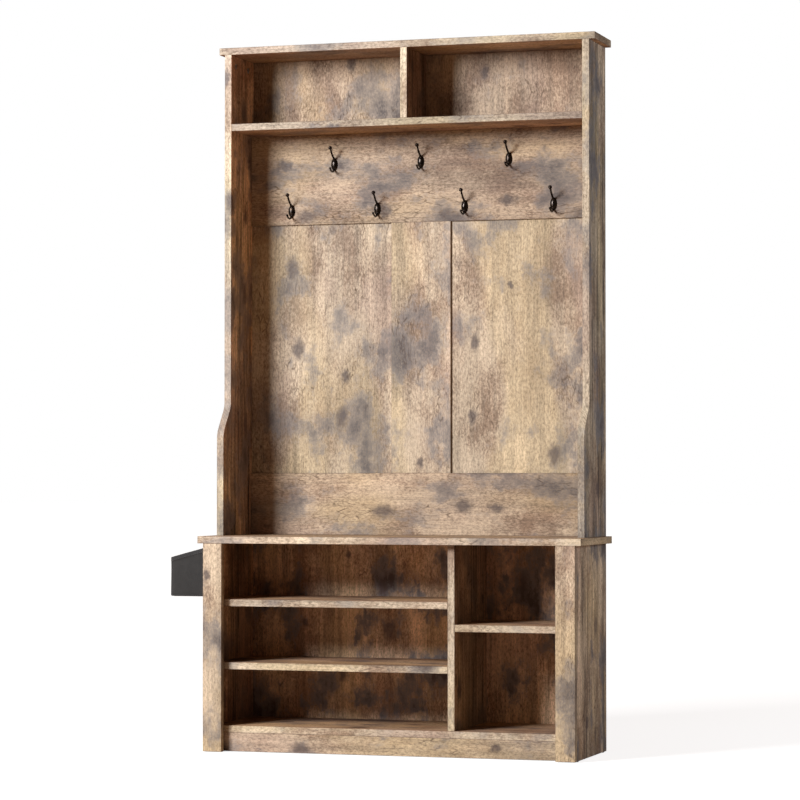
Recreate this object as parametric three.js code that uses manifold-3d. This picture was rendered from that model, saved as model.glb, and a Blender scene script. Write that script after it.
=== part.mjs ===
// Hall tree: a shoe bench with open shelves, a hutch with two cubbies and seven coat hooks,
// and a fabric pouch on the left side. Millimetres, +Z up, front towards -Y.
// The furniture is drawn with X = 0 on its middle and Y = 0 on its back, and the whole group is
// then moved so that the origin is the middle of the bottom of its box.
import * as THREE from "three";
import { mergeVertices } from "three/addons/utils/BufferGeometryUtils.js";
import Module from "manifold-3d";

const wasm = await Module();
wasm.setup();

// ---------------------------------------------------------------- driving dimensions

const BOARD = 18; // thickness of every laminated board
const SKIN = 3; // thickness of the backs and of the lips of the infill panels
const INFILL = 12; // how far the field of an infill panel stands out from its lip
const ARRIS = 0.5; // chamfer that breaks each board's edges
const GAP = 0.5; // gap between neighbouring backs
const FIELD_PLAY = 0.3; // gap round the field of an infill panel

const TOP_WIDTH = 1000; // bench top and hutch top, side to side
const BODY_WIDTH = 970; // outside of the side panels
const HEIGHT = 1805; // floor to the top of the hutch

const BENCH_DEPTH = 320;
const BENCH_HEIGHT = 545;
const OPENING_HEIGHT = 460; // floor panel to the underside of the bench top
const STILE_WIDTH = 50;
const CARCASS_RECESS = 28; // shelf edges behind the front of the stiles
const LEFT_BAY_WIDTH = 620; // clear width of the shoe shelves
const RIGHT_SHELF_HEIGHT = 312; // underside of the short shelf

const HUTCH_DEPTH = 170; // upper part of the hutch
const HUTCH_FOOT_DEPTH = 223; // lower part of the hutch sides
const CURVE_LOW = 808; // corner where the deep foot starts to narrow
const CURVE_HIGH = 876; // corner where the narrow upper part begins
const CURVE_RADIUS = 40;
const CUBBY_HEIGHT = 180;
const HOOK_BOARD_HEIGHT = 235;
const LOWER_BOARD_HEIGHT = 160;
const MIDDLE_STILE_WIDTH = 160;
const BACK_SEAM = 1470; // height of the seam between the hutch backs

const GLIDE_HEIGHT = 2;
const GLIDE_RADIUS = 8;

const HOOK_SPACING = 236;
const UPPER_HOOKS = 1510;
const LOWER_HOOKS = 1390.5;
const HOOK_PLATE_WIDTH = 19;
const HOOK_PLATE_HEIGHT = 35;
const HOOK_DOME = 6.5;
const HOOK_SCREW_OFFSET = 8; // each screw above or below the plate's middle

const CAM_RADIUS = 7.5;
const CAM_DEPTH = 12;
const CAM_DROP = 26; // cam centre below the hutch top
const CAM_PLACES = [-136, -47];
const FIT = 0.3; // clearance round a fastener

const BAG_REACH = 100;
const BAG_FRONT = -290;
const BAG_BACK = -40;
const BAG_BOTTOM = 391.5;
const BAG_OUTER_TOP = 489;
const BAG_WALL_TOP = 516;
const BAG_CLOTH = 3;
const BAG_SCREW_HEIGHT = 496;

// ---------------------------------------------------------------- worked-out places

const halfTop = TOP_WIDTH / 2;
const halfBody = BODY_WIDTH / 2;
const halfInner = halfBody - BOARD;
const benchUnder = BENCH_HEIGHT - BOARD;
const floorPanelTop = benchUnder - OPENING_HEIGHT;
const floorPanelUnder = floorPanelTop - BOARD;
const sideFront = -BENCH_DEPTH + BOARD;
const carcassFront = -BENCH_DEPTH + CARCASS_RECESS;
const boardBack = -SKIN;
const dividerLeft = -halfInner + LEFT_BAY_WIDTH;
const dividerRight = dividerLeft + BOARD;
const shoeBay = (OPENING_HEIGHT - 2 * BOARD) / 3;
const lowerShelf = floorPanelTop + shoeBay;
const upperShelf = lowerShelf + BOARD + shoeBay;
const hutchUnder = HEIGHT - BOARD;
const cubbyFloorTop = hutchUnder - CUBBY_HEIGHT;
const cubbyFloorUnder = cubbyFloorTop - BOARD;
const hookBoardUnder = cubbyFloorUnder - HOOK_BOARD_HEIGHT;
const lowerBoardTop = BENCH_HEIGHT + LOWER_BOARD_HEIGHT;
const panelFace = boardBack - BOARD; // front of the hook board, middle stile and lower board
const camHeight = hutchUnder - CAM_DROP;

// ---------------------------------------------------------------- finishes

const finish = (color, roughness, metalness) =>
  new THREE.MeshStandardMaterial({ color, roughness, metalness });
const rusticBoard = finish(0xa98662, 0.7, 0);
const backBoard = finish(0x7d5f45, 0.8, 0);
const bronze = finish(0x1d1714, 0.35, 0.85);
const steel = finish(0x8d8f92, 0.35, 1);
const blackFabric = finish(0x3c3c3e, 0.95, 0);
const blackPlastic = finish(0x1b1b1c, 0.6, 0);

// ---------------------------------------------------------------- solids

// A closed geometry as a solid that can be joined and cut.
function solid(geometry) {
  const bare = geometry.index ? geometry.toNonIndexed() : geometry.clone();
  bare.deleteAttribute("normal");
  bare.deleteAttribute("uv");
  const merged = mergeVertices(bare, 1e-4);
  return new wasm.Manifold(
    new wasm.Mesh({
      numProp: 3,
      vertProperties: merged.attributes.position.array,
      triVerts: new Uint32Array(merged.index.array),
    }),
  );
}

// A solid back as a geometry.
function shell(body) {
  const made = body.getMesh();
  const geometry = new THREE.BufferGeometry();
  geometry.setAttribute("position", new THREE.BufferAttribute(made.vertProperties, 3));
  geometry.setIndex(new THREE.BufferAttribute(made.triVerts, 1));
  geometry.computeVertexNormals();
  return geometry;
}

const cut = (geometry, ...tools) =>
  shell(tools.reduce((body, tool) => body.subtract(solid(tool)), solid(geometry)));
const join = (...pieces) =>
  shell(pieces.map(solid).reduce((body, piece) => body.add(piece)));

// An outline pushed through to a thickness, with chamfered rims.
function slab(outline, thickness, arris = ARRIS) {
  const geometry = new THREE.ExtrudeGeometry(outline, {
    depth: thickness - 2 * arris,
    bevelThickness: arris,
    bevelSize: arris,
    bevelOffset: -arris,
    bevelSegments: 1,
    curveSegments: 4,
  });
  return geometry.translate(0, 0, arris);
}

// A rectangular board between two corners, with every edge chamfered.
function boardShape([x0, x1], [y0, y1], [z0, z1]) {
  const outline = new THREE.Shape();
  outline.moveTo(x0 + ARRIS, y0);
  outline.lineTo(x1 - ARRIS, y0);
  outline.lineTo(x1, y0 + ARRIS);
  outline.lineTo(x1, y1 - ARRIS);
  outline.lineTo(x1 - ARRIS, y1);
  outline.lineTo(x0 + ARRIS, y1);
  outline.lineTo(x0, y1 - ARRIS);
  outline.lineTo(x0, y0 + ARRIS);
  outline.closePath();
  return slab(outline, z1 - z0).translate(0, 0, z0);
}

const box = ([x0, x1], [y0, y1], [z0, z1]) =>
  new THREE.BoxGeometry(x1 - x0, y1 - y0, z1 - z0).translate(
    (x0 + x1) / 2,
    (y0 + y1) / 2,
    (z0 + z1) / 2,
  );

// Two places on one axis, the lower one first.
const ordered = (a, b) => [Math.min(a, b), Math.max(a, b)];

// A round pin along X, Y or Z, from its start to its end on that axis.
function pin(axis, radius, [start, end], x, y, z, sides = 10) {
  const geometry = new THREE.CylinderGeometry(radius, radius, end - start, sides);
  if (axis === "x") geometry.rotateZ(-Math.PI / 2);
  if (axis === "z") geometry.rotateX(Math.PI / 2);
  const middle = (start + end) / 2;
  return geometry.translate(
    axis === "x" ? middle : x,
    axis === "y" ? middle : y,
    axis === "z" ? middle : z,
  );
}

// A turned piece from its half profile of [radius, height] points, standing along +Z.
const turned = (profile, sides = 12) =>
  new THREE.LatheGeometry(
    profile.map(([r, h]) => new THREE.Vector2(r, h)),
    sides,
  ).rotateX(Math.PI / 2);

// ---------------------------------------------------------------- assembly

const hallTree = new THREE.Group();

function add(name, geometry, material, x = 0, y = 0, z = 0) {
  const mesh = new THREE.Mesh(geometry, material);
  mesh.name = name;
  mesh.position.set(x, y, z);
  hallTree.add(mesh);
  return mesh;
}

const addBoard = (name, x, y, z, material = rusticBoard) =>
  add(name, boardShape(x, y, z), material);

// ---------------------------------------------------------------- bench

function buildBench() {
  const full = [-halfInner, halfInner];
  const inside = [carcassFront, boardBack];
  const left = [-halfInner, dividerLeft];
  const right = [dividerRight, halfInner];

  addBoard("bench_top", [-halfTop, halfTop], [-BENCH_DEPTH, 0], [benchUnder, BENCH_HEIGHT]);
  addBoard("base_floor_panel", full, inside, [floorPanelUnder, floorPanelTop]);
  addBoard(
    "front_kick_rail",
    full,
    [carcassFront, carcassFront + BOARD],
    [GLIDE_HEIGHT, floorPanelUnder],
  );
  addBoard(
    "back_kick_rail",
    full,
    [boardBack - BOARD, boardBack],
    [GLIDE_HEIGHT, floorPanelUnder],
  );
  addBoard("base_divider", [dividerLeft, dividerRight], inside, [floorPanelTop, benchUnder]);
  addBoard("lower_shoe_shelf", left, inside, [lowerShelf, lowerShelf + BOARD]);
  addBoard("upper_shoe_shelf", left, inside, [upperShelf, upperShelf + BOARD]);
  addBoard("right_shelf", right, inside, [RIGHT_SHELF_HEIGHT, RIGHT_SHELF_HEIGHT + BOARD]);
  addBoard(
    "base_back_panel",
    [-halfBody, halfBody],
    [boardBack, 0],
    [GLIDE_HEIGHT, benchUnder],
    backBoard,
  );

  const upright = [GLIDE_HEIGHT, benchUnder];
  const leftSide = boardShape([-halfBody, -halfInner], [sideFront, boardBack], upright);
  const screwHoles = bagScrewPlaces().map((y) =>
    pin("x", 2 + FIT, [-halfBody - 1, -halfBody + 15], 0, y, BAG_SCREW_HEIGHT),
  );
  add("base_left_side", cut(leftSide, ...screwHoles), rusticBoard);
  addBoard("base_right_side", [halfInner, halfBody], [sideFront, boardBack], upright);
  addBoard(
    "left_face_stile",
    [-halfBody, -halfBody + STILE_WIDTH],
    [-BENCH_DEPTH, sideFront],
    upright,
  );
  addBoard(
    "right_face_stile",
    [halfBody - STILE_WIDTH, halfBody],
    [-BENCH_DEPTH, sideFront],
    upright,
  );
}

// A nail-on glide under each end of the two side panels.
function buildGlides() {
  const profile = [
    [0, 0],
    [GLIDE_RADIUS - 1, 0],
    [GLIDE_RADIUS, 0.75],
    [GLIDE_RADIUS, GLIDE_HEIGHT],
    [0, GLIDE_HEIGHT],
  ];
  const edgeDistance = 20;
  for (const [side, sign] of [["left", -1], ["right", 1]]) {
    for (const [end, y] of [
      ["front", sideFront + edgeDistance],
      ["back", boardBack - edgeDistance],
    ]) {
      const x = sign * (halfBody - BOARD / 2);
      add(`${side}_${end}_glide`, turned(profile, 16), blackPlastic, x, y, 0);
    }
  }
}

// ---------------------------------------------------------------- hutch

// Turns the corner of an outline with an arc that meets both straight stretches.
function roundedCorner(outline, before, corner, after, radius) {
  const into = new THREE.Vector2().subVectors(corner, before).normalize();
  const out = new THREE.Vector2().subVectors(after, corner).normalize();
  const turn = into.cross(out);
  const halfAngle = Math.acos(into.dot(out)) / 2;
  const reach = radius * Math.tan(halfAngle);
  const start = corner.clone().addScaledVector(into, -reach);
  const side = turn > 0 ? 1 : -1;
  const normal = new THREE.Vector2(-into.y, into.x).multiplyScalar(side);
  const centre = start.clone().addScaledVector(normal, radius);
  const firstAngle = Math.atan2(start.y - centre.y, start.x - centre.x);
  const lastAngle = firstAngle + side * 2 * halfAngle;
  outline.lineTo(start.x, start.y);
  outline.absarc(centre.x, centre.y, radius, firstAngle, lastAngle, side < 0);
}

// A hutch side seen from the right, in depth and height: a deep foot that narrows upwards.
function hutchSideOutline() {
  const footCorner = new THREE.Vector2(-HUTCH_FOOT_DEPTH, BENCH_HEIGHT);
  const low = new THREE.Vector2(-HUTCH_FOOT_DEPTH, CURVE_LOW);
  const high = new THREE.Vector2(-HUTCH_DEPTH, CURVE_HIGH);
  const topCorner = new THREE.Vector2(-HUTCH_DEPTH, hutchUnder);
  const outline = new THREE.Shape();
  outline.moveTo(boardBack, BENCH_HEIGHT);
  outline.lineTo(boardBack, hutchUnder);
  outline.lineTo(topCorner.x, topCorner.y);
  roundedCorner(outline, topCorner, high, low, CURVE_RADIUS);
  roundedCorner(outline, high, low, footCorner, CURVE_RADIUS);
  outline.lineTo(footCorner.x, footCorner.y);
  outline.closePath();
  return outline;
}

// Outline depth runs along Y, outline height along Z, and the thickness along X.
const acrossX = new THREE.Matrix4().makeBasis(
  new THREE.Vector3(0, 1, 0),
  new THREE.Vector3(0, 0, 1),
  new THREE.Vector3(1, 0, 0),
);

// One side, with the pockets for its cams and the bores that their bolts come down.
function hutchSide(sign) {
  const inner = sign * halfInner;
  const middle = sign * (halfBody - BOARD / 2);
  const [left] = ordered(inner, sign * halfBody);
  const side = slab(hutchSideOutline(), BOARD).applyMatrix4(acrossX).translate(left, 0, 0);
  const pocketSpan = ordered(inner - sign, inner + sign * (CAM_DEPTH + 0.5));
  const pockets = CAM_PLACES.map((y) =>
    pin("x", CAM_RADIUS + FIT, pocketSpan, 0, y, camHeight, 16),
  );
  const bores = CAM_PLACES.map((y) =>
    pin("z", 3 + FIT, [camHeight, hutchUnder + 1], middle, y, 0),
  );
  return cut(side, ...pockets, ...bores);
}

// A panel whose field fills the opening beside the middle stile, a little behind the boards
// round it, and whose thin lip runs on behind them.
function infillPanel(sign) {
  const lip = boardShape(
    ordered((sign * GAP) / 2, sign * halfBody),
    [boardBack, 0],
    [BENCH_HEIGHT, BACK_SEAM - GAP],
  );
  const field = box(
    ordered(sign * (MIDDLE_STILE_WIDTH / 2 + FIELD_PLAY), sign * (halfInner - FIELD_PLAY)),
    [boardBack - INFILL, boardBack / 2],
    [lowerBoardTop + FIELD_PLAY, hookBoardUnder - FIELD_PLAY],
  );
  return join(lip, field);
}

function buildHutch() {
  const full = [-halfInner, halfInner];
  const shelfDepth = [-HUTCH_DEPTH, boardBack];
  const panelDepth = [panelFace, boardBack];

  add("hutch_left_side", hutchSide(-1), rusticBoard);
  add("hutch_right_side", hutchSide(1), rusticBoard);

  const top = boardShape([-halfTop, halfTop], [-HUTCH_DEPTH, 0], [hutchUnder, HEIGHT]);
  const boltHoles = [-1, 1].flatMap((sign) =>
    CAM_PLACES.map((y) =>
      pin("z", 2.5 + FIT, [hutchUnder - 1, hutchUnder + 11], sign * (halfBody - BOARD / 2), y, 0),
    ),
  );
  add("hutch_top", cut(top, ...boltHoles), rusticBoard);

  addBoard("cubby_floor", full, shelfDepth, [cubbyFloorUnder, cubbyFloorTop]);
  addBoard("cubby_divider", [-BOARD / 2, BOARD / 2], shelfDepth, [cubbyFloorTop, hutchUnder]);

  const hookBoard = boardShape(full, panelDepth, [hookBoardUnder, cubbyFloorUnder]);
  const pilotHoles = hookPlaces().flatMap(({ x, z }) =>
    [-1, 1].map((sign) =>
      pin("y", 1.5 + FIT, [panelFace - 1, panelFace + 15], x, 0, z + sign * HOOK_SCREW_OFFSET, 8),
    ),
  );
  add("hook_board", cut(hookBoard, ...pilotHoles), rusticBoard);
  addBoard(
    "middle_stile",
    [-MIDDLE_STILE_WIDTH / 2, MIDDLE_STILE_WIDTH / 2],
    panelDepth,
    [lowerBoardTop, hookBoardUnder],
  );
  addBoard("lower_board", full, panelDepth, [BENCH_HEIGHT, lowerBoardTop]);

  const backDepth = [boardBack, 0];
  addBoard(
    "cubby_back_panel",
    [-halfBody, halfBody],
    backDepth,
    [BACK_SEAM, hutchUnder],
    backBoard,
  );
  add("left_back_panel", infillPanel(-1), backBoard);
  add("right_back_panel", infillPanel(1), backBoard);
}

// Cams in the hutch sides, each hooked on a bolt that is screwed up into the hutch top.
function buildCams() {
  const boltProfile = [
    [0, -CAM_DROP - 3],
    [2.7, -CAM_DROP - 3],
    [2.7, -CAM_DROP],
    [1.75, -CAM_DROP + 1],
    [1.75, -CAM_DROP + 4],
    [3, -CAM_DROP + 5],
    [3, 0],
    [2.5, 0],
    [2.5, 10],
    [0, 10],
  ];
  for (const [side, sign] of [["left", -1], ["right", 1]]) {
    const face = sign * (halfInner + 0.25);
    const end = face + sign * CAM_DEPTH;
    const slot = [face + sign * 5.5, end + sign];
    for (const [place, y] of [["front", CAM_PLACES[0]], ["back", CAM_PLACES[1]]]) {
      const body = pin("x", CAM_RADIUS, ordered(face, end), 0, y, camHeight, 16);
      const boltSlot = box(
        ordered(...slot),
        [y - 3.5, y + 3.5],
        [camHeight - 3.75, camHeight + CAM_RADIUS + 1],
      );
      const recess = ordered(face - sign, face + sign * 2);
      const crossUp = box(recess, [y - 0.75, y + 0.75], [camHeight - 4, camHeight + 4]);
      const crossOver = box(recess, [y - 4, y + 4], [camHeight - 0.75, camHeight + 0.75]);
      add(`${side}_${place}_cam_lock`, cut(body, boltSlot, crossUp, crossOver), steel);
      const middle = sign * (halfBody - BOARD / 2);
      add(`${side}_${place}_cam_bolt`, turned(boltProfile, 10), steel, middle, y, hutchUnder);
    }
  }
}

// ---------------------------------------------------------------- coat hooks

// Three hooks in the upper row and four below, staggered by half a spacing.
function hookPlaces() {
  const upper = [-1, 0, 1].map((step) => ({ x: step * HOOK_SPACING, z: UPPER_HOOKS }));
  const lower = [-1.5, -0.5, 0.5, 1.5].map((step) => ({
    x: step * HOOK_SPACING,
    z: LOWER_HOOKS,
  }));
  return [...upper, ...lower];
}

// A round bar along a smooth curve through points of [forward, up].
function bar(points, radius, sides, steps) {
  const path = new THREE.CatmullRomCurve3(
    points.map(([forward, up]) => new THREE.Vector3(0, -forward, up)),
  );
  const section = new THREE.Shape();
  for (let i = 0; i < sides; i++) {
    const angle = (2 * Math.PI * i) / sides;
    const x = radius * Math.cos(angle);
    const y = radius * Math.sin(angle);
    if (i === 0) section.moveTo(x, y);
    else section.lineTo(x, y);
  }
  section.closePath();
  return new THREE.ExtrudeGeometry(section, {
    steps,
    extrudePath: path,
    bevelEnabled: false,
  });
}

const ball = (radius, forward, up) =>
  new THREE.SphereGeometry(radius, 8, 5).translate(0, -forward, up);

// A double hook: a domed oval plate, a long prong with a ball and a short curled prong.
function hookGeometry() {
  const rim = HOOK_PLATE_WIDTH / 2;
  const dome = turned(
    [
      [0, 0],
      [rim, 0],
      [rim, 1.5],
      [rim * 0.8, 3.75],
      [rim * 0.4, HOOK_DOME],
      [0, HOOK_DOME],
    ],
    14,
  )
    .rotateX(Math.PI / 2)
    .scale(1, 1, HOOK_PLATE_HEIGHT / HOOK_PLATE_WIDTH);
  const longProng = bar([[1, 12], [8, 16.5], [15, 20.5], [23, 27.5], [34, 40]], 2.4, 6, 6);
  const curl = [[1, -12.5], [6, -16.5], [14, -20.5], [25, -19.5], [32, -16.5], [36, -13.5]];
  const shortProng = bar(curl, 2.3, 6, 8);
  const solidHook = join(dome, longProng, shortProng, ball(4.9, 34, 40), ball(3.2, 36, -13.5));
  const behindPlate = box([-rim, rim], [0, 10], [-HOOK_PLATE_HEIGHT, HOOK_PLATE_HEIGHT]);
  const holes = [-1, 1].flatMap((sign) => [
    pin("y", 1.5 + FIT, [-HOOK_DOME - 1, 1], 0, 0, sign * HOOK_SCREW_OFFSET, 8),
    pin("y", 2.75 + FIT, [-HOOK_DOME - 1, -3.5], 0, 0, sign * HOOK_SCREW_OFFSET, 8),
  ]);
  return cut(solidHook, behindPlate, ...holes);
}

function buildHooks() {
  const hook = hookGeometry();
  const screw = turned(
    [
      [0, -13],
      [1, -13],
      [1.5, -11.5],
      [1.5, 3.75],
      [2.75, 3.75],
      [2.75, 4.75],
      [1.75, 5.5],
      [0, 5.5],
    ],
    8,
  ).rotateX(Math.PI / 2);
  hookPlaces().forEach(({ x, z }, index) => {
    const number = index + 1;
    add(`coat_hook_${number}`, hook, bronze, x, panelFace, z);
    add(`hook_${number}_top_screw`, screw, bronze, x, panelFace, z + HOOK_SCREW_OFFSET);
    add(`hook_${number}_bottom_screw`, screw, bronze, x, panelFace, z - HOOK_SCREW_OFFSET);
  });
}

// ---------------------------------------------------------------- side pouch

function bagScrewPlaces() {
  const inset = 45;
  return [BAG_FRONT + inset, BAG_BACK - inset];
}

// An open pouch with a flat back on the bench side and a mouth that slopes outwards.
function buildBag() {
  const wall = -halfBody;
  const outer = wall - BAG_REACH;
  const outline = new THREE.Shape();
  outline.moveTo(wall, BAG_BOTTOM);
  outline.lineTo(wall, BAG_WALL_TOP);
  outline.lineTo(outer, BAG_OUTER_TOP);
  outline.lineTo(outer, BAG_BOTTOM);
  outline.closePath();
  const acrossY = new THREE.Matrix4().makeBasis(
    new THREE.Vector3(1, 0, 0),
    new THREE.Vector3(0, 0, 1),
    new THREE.Vector3(0, -1, 0),
  );
  const body = slab(outline, BAG_BACK - BAG_FRONT, 1)
    .applyMatrix4(acrossY)
    .translate(0, BAG_BACK, 0);
  const hollow = box(
    [outer + BAG_CLOTH, wall - BAG_CLOTH],
    [BAG_FRONT + BAG_CLOTH, BAG_BACK - BAG_CLOTH],
    [BAG_BOTTOM + BAG_CLOTH, BAG_WALL_TOP + 10],
  );
  const screwHoles = bagScrewPlaces().map((y) =>
    pin("x", 2 + FIT, [wall - BAG_CLOTH - 1, wall + 1], 0, y, BAG_SCREW_HEIGHT),
  );
  add("storage_bag", cut(body, hollow, ...screwHoles), blackFabric);

  const screw = turned(
    [
      [0, -17],
      [1.25, -17],
      [2, -14.5],
      [2, 0.25],
      [6, 0.25],
      [6, 1.25],
      [3.5, 2.5],
      [0, 2.5],
    ],
    12,
  ).rotateY(-Math.PI / 2);
  bagScrewPlaces().forEach((y, index) => {
    const name = `bag_${index === 0 ? "front" : "back"}_screw`;
    add(name, screw, bronze, wall - BAG_CLOTH, y, BAG_SCREW_HEIGHT);
  });
}

buildBench();
buildGlides();
buildHutch();
buildCams();
buildHooks();
buildBag();

// The box reaches from the pouch to the right end of the bench top.
const boxMiddle = (halfTop - halfBody - BAG_REACH) / 2;
hallTree.position.set(-boxMiddle, BENCH_DEPTH / 2, 0);

export default hallTree;
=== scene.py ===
"""Looks of a hall tree: laminated boards, cast hooks, a fabric pouch, studio light and camera."""
import logging
import math
import random
from collections.abc import Callable, Iterable, Sequence
from dataclasses import dataclass, field, replace
from enum import Enum

import bmesh
import bpy
from bpy.types import ID, Curve, Material, Mesh, Node, NodeSocket, NodeTree, Object
from mathutils import Euler, Matrix, Vector, noise


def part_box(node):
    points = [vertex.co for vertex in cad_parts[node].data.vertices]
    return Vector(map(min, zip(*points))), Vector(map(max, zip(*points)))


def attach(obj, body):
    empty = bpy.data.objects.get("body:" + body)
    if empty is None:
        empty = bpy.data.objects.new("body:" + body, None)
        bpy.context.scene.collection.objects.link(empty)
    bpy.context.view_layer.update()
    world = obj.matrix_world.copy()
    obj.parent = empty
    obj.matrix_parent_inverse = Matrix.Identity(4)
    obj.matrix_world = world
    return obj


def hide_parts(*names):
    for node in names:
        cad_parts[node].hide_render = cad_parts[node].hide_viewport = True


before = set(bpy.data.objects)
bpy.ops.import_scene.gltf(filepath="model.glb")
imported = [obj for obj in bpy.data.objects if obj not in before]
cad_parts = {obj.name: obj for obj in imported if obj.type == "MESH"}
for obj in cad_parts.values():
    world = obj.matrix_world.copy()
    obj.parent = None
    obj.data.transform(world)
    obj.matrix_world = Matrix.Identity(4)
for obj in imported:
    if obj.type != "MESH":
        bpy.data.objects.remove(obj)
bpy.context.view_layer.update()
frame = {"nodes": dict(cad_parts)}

log = logging.getLogger("hall_tree")

MM = 0.001

Pair = tuple[float, float]
Triple = tuple[float, float, float]
Colour = Triple
Feed = NodeSocket | float | Triple


# ------------------------------------------------------------------ shader helpers


class Graph:
    """A short way to add and link the nodes of one node tree."""

    def __init__(self, tree: NodeTree) -> None:
        """Starts on an emptied tree.

        Args:
            tree: The node tree of a material or of a node group.
        """
        self.tree = tree
        tree.nodes.clear()

    def feed(self, socket: NodeSocket, value: Feed) -> None:
        """Links a socket to another one, or sets its own value.

        Args:
            socket: The input to fill.
            value: An output socket, a number or a colour.
        """
        if isinstance(value, NodeSocket):
            self.tree.links.new(value, socket)
        elif isinstance(value, tuple) and socket.type == "RGBA":
            socket.default_value = (*value, 1.0)
        else:
            socket.default_value = value

    def node(self, kind: str, inputs: dict[str | int, Feed] | None = None, **settings: object) -> Node:
        """Adds a node.

        Args:
            kind: The node's type name.
            inputs: What goes into its sockets, by name or by number.
            **settings: The node's own properties.

        Returns:
            The new node.
        """
        made = self.tree.nodes.new(kind)
        for name, value in settings.items():
            setattr(made, name, value)
        for key, value in (inputs or {}).items():
            self.feed(made.inputs[key], value)
        return made

    def math(self, operation: str, a: Feed, b: Feed = 0.0, clamp: bool = False) -> NodeSocket:
        """Joins two values with one math operation and returns the result."""
        made = self.node("ShaderNodeMath", {0: a, 1: b}, operation=operation, use_clamp=clamp)
        return made.outputs[0]

    def times(self, a: Feed, b: Feed) -> NodeSocket:
        """The product of two values."""
        return self.math("MULTIPLY", a, b)

    def plus(self, a: Feed, b: Feed) -> NodeSocket:
        """The sum of two values."""
        return self.math("ADD", a, b)

    def vector(self, operation: str, a: Feed, b: Feed = (0.0, 0.0, 0.0)) -> NodeSocket:
        """Joins two vectors with one operation and returns the result."""
        return self.node("ShaderNodeVectorMath", {0: a, 1: b}, operation=operation).outputs[0]

    def place(self) -> NodeSocket:
        """The place on the object, in metres."""
        return self.node("ShaderNodeTexCoord").outputs["Object"]

    def facing(self, normal: str) -> Sequence[NodeSocket]:
        """Which way the surface looks, as the three parts of its true or its smooth normal."""
        return self.parts(self.node("ShaderNodeNewGeometry").outputs[normal])

    def parts(self, vector: Feed) -> Sequence[NodeSocket]:
        """A vector's parts along X, Y and Z."""
        return self.node("ShaderNodeSeparateXYZ", {0: vector}).outputs

    def flat(self, x: Feed, y: Feed) -> NodeSocket:
        """Two values as a flat place."""
        return self.node("ShaderNodeCombineXYZ", {0: x, 1: y}).outputs[0]

    def either(self, chosen: Feed, a: Feed, b: Feed) -> NodeSocket:
        """The value a where chosen is 0, and b where it is 1."""
        return self.node("ShaderNodeMix", {0: chosen, 2: a, 3: b}).outputs[0]

    def relief(self, shader: Node, height: Feed, strength: float, depth: float) -> None:
        """Raises a shader's surface by a pattern.

        Args:
            shader: The shader node.
            height: The pattern.
            strength: How strongly it shows.
            depth: How far it rises, in metres.
        """
        bump = self.node("ShaderNodeBump", {"Height": height, "Strength": strength, "Distance": depth})
        self.feed(shader.inputs["Normal"], bump.outputs[0])

    def ramp(self, value: Feed, low: float, high: float, start: float = 0.0,
             end: float = 1.0) -> NodeSocket:
        """Carries a value smoothly from start to end as it runs from low to high.

        Args:
            value: The value to carry.
            low: Where the change begins.
            high: Where it ends.
            start: The result at low and below.
            end: The result at high and above.

        Returns:
            The carried value.
        """
        made = self.node("ShaderNodeMapRange", {0: value, 1: low, 2: high, 3: start, 4: end})
        made.interpolation_type = "SMOOTHSTEP"
        return made.outputs[0]

    def mix(self, factor: Feed, a: Feed, b: Feed, blend: str = "MIX") -> NodeSocket:
        """Mixes two colours.

        Args:
            factor: How much of b.
            a: The first colour.
            b: The second colour.
            blend: How they mix.

        Returns:
            The mixed colour.
        """
        made = self.node("ShaderNodeMix", data_type="RGBA", blend_type=blend)
        self.feed(made.inputs[0], factor)
        self.feed(made.inputs[6], a)
        self.feed(made.inputs[7], b)
        return made.outputs[2]

    def noise(self, place: Feed, scale: float, detail: float, rough: float = 0.5) -> NodeSocket:
        """A noise pattern, from about 0.2 to 0.8.

        Args:
            place: Where it is read.
            scale: Patches in a metre.
            detail: How many finer layers it has.
            rough: How strong they are.

        Returns:
            The pattern's value.
        """
        made = self.node("ShaderNodeTexNoise", {
            "Vector": place, "Scale": scale, "Detail": detail, "Roughness": rough,
        })
        return made.outputs["Fac"]


def node_group(name: str, inputs: dict[str, tuple[str, object]],
               outputs: dict[str, str]) -> tuple[NodeTree, Graph, Node, Node]:
    """Makes an empty shader node group with named sockets.

    Args:
        name: The group's name.
        inputs: Input name to its socket kind and its default value.
        outputs: Output name to its socket kind.

    Returns:
        The group's tree, a graph on it, and its input and output nodes.
    """
    tree = bpy.data.node_groups.new(name, "ShaderNodeTree")
    for label, (kind, value) in inputs.items():
        socket = tree.interface.new_socket(label, in_out="INPUT", socket_type=f"NodeSocket{kind}")
        if value is not None:
            socket.default_value = value
    for label, kind in outputs.items():
        tree.interface.new_socket(label, in_out="OUTPUT", socket_type=f"NodeSocket{kind}")
    graph = Graph(tree)
    source = graph.node("NodeGroupInput")
    sink = graph.node("NodeGroupOutput")
    return tree, graph, source, sink


def new_material(name: str) -> tuple[Material, Graph, Node]:
    """Makes a material with one Principled shader.

    Args:
        name: The material's name.

    Returns:
        The material, a graph on its tree, and the shader node.
    """
    material = bpy.data.materials.new(name)
    material.use_nodes = True
    graph = Graph(material.node_tree)
    shader = graph.node("ShaderNodeBsdfPrincipled")
    graph.node("ShaderNodeOutputMaterial", {"Surface": shader.outputs[0]})
    return material, graph, shader


def dress(piece: Object, material: Material) -> None:
    """Puts one material on the whole piece.

    Args:
        piece: The piece, with a mesh of its own.
        material: The material.
    """
    piece.data.materials.clear()
    piece.data.materials.append(material)
    for polygon in piece.data.polygons:
        polygon.material_index = 0


def worked_mesh(piece: Object) -> Mesh:
    """A mesh of the piece with its modifiers, or a curve's section, worked in."""
    return bpy.data.meshes.new_from_object(piece.evaluated_get(bpy.context.evaluated_depsgraph_get()))


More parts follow.
